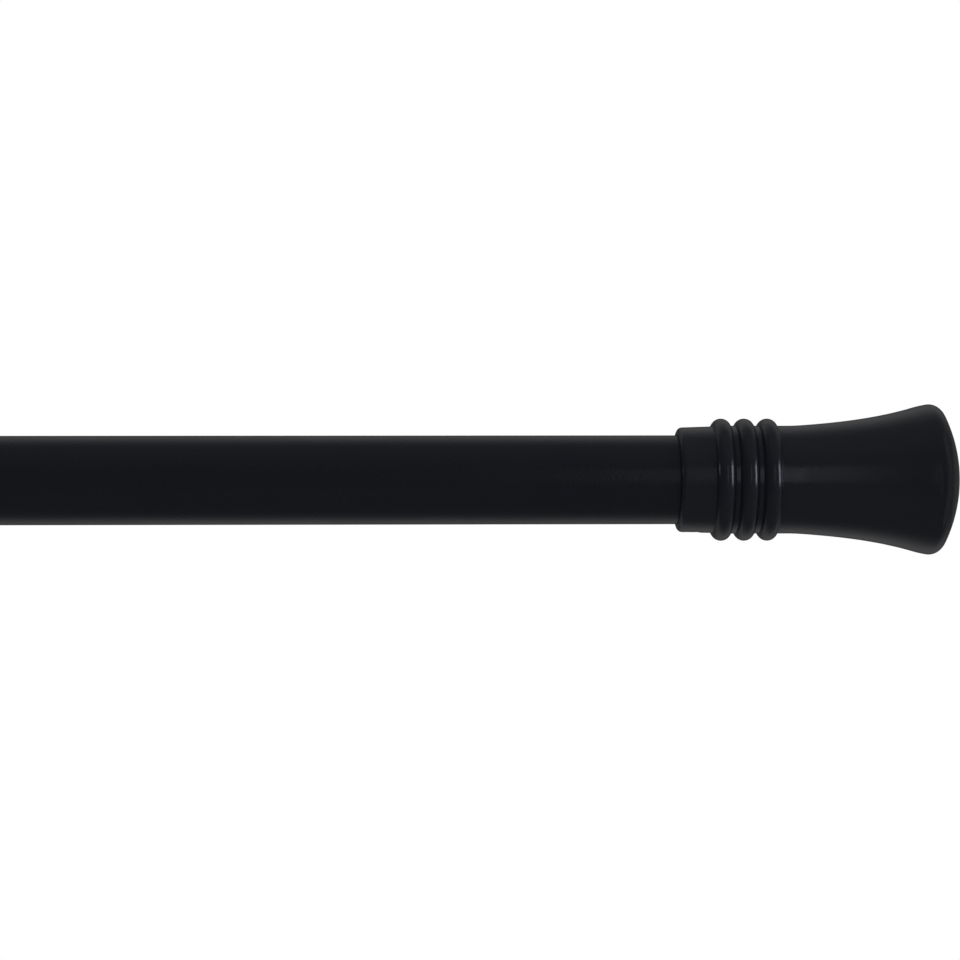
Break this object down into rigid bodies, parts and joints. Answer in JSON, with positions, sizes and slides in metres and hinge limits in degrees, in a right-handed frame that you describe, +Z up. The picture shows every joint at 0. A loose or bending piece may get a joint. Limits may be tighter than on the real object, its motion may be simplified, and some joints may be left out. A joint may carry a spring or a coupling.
{
  "type": "curtain rod",
  "caption": "Telescoping round curtain rod in satin black with ringed trumpet finials; an inner tube slides and turns in the outer tube, and the finials draw off.",
  "frame": {"origin": "on the rod's axis, at the middle of its length from tip to tip at rest", "axes": "+X along the rod towards the finial on the outer tube, +Z up with the grub screws on the underside, and the picture looks along +Y"},
  "size_m": [0.9718, 0.043, 0.043],
  "materials": {
    "tube_coat": "satin black powder coat on steel tube",
    "finial_coat": "satin black powder coat on an aluminium casting",
    "nylon": "moulded black nylon",
    "screw_steel": "black oxide"
  },
  "bodies": {
    "outer": {"outer_tube": "tube_coat", "mouth_bush": "nylon"},
    "glide": {"guide_ring": "nylon"},
    "inner": {"inner_tube": "tube_coat", "reducing_sleeve": "nylon"},
    "right_end": {"right_finial": "finial_coat", "right_grub_screw": "screw_steel"},
    "left_end": {"left_finial": "finial_coat", "left_grub_screw": "screw_steel"}
  },
  "joints": [
    {"name": "telescope", "type": "slide", "parent": "outer", "child": "glide", "axis": [-1, 0, 0], "range_m": [-0.1, 0.408]},
    {"name": "tube_twist", "type": "hinge", "parent": "glide", "child": "inner", "pos_m": [0, 0, 0], "axis": [1, 0, 0], "continuous": true},
    {"name": "right_finial_off", "type": "slide", "parent": "outer", "child": "right_end", "axis": [1, 0, 0], "range_m": [0, 0.06]},
    {"name": "left_finial_off", "type": "slide", "parent": "inner", "child": "left_end", "axis": [-1, 0, 0], "range_m": [0, 0.06]}
  ]
}
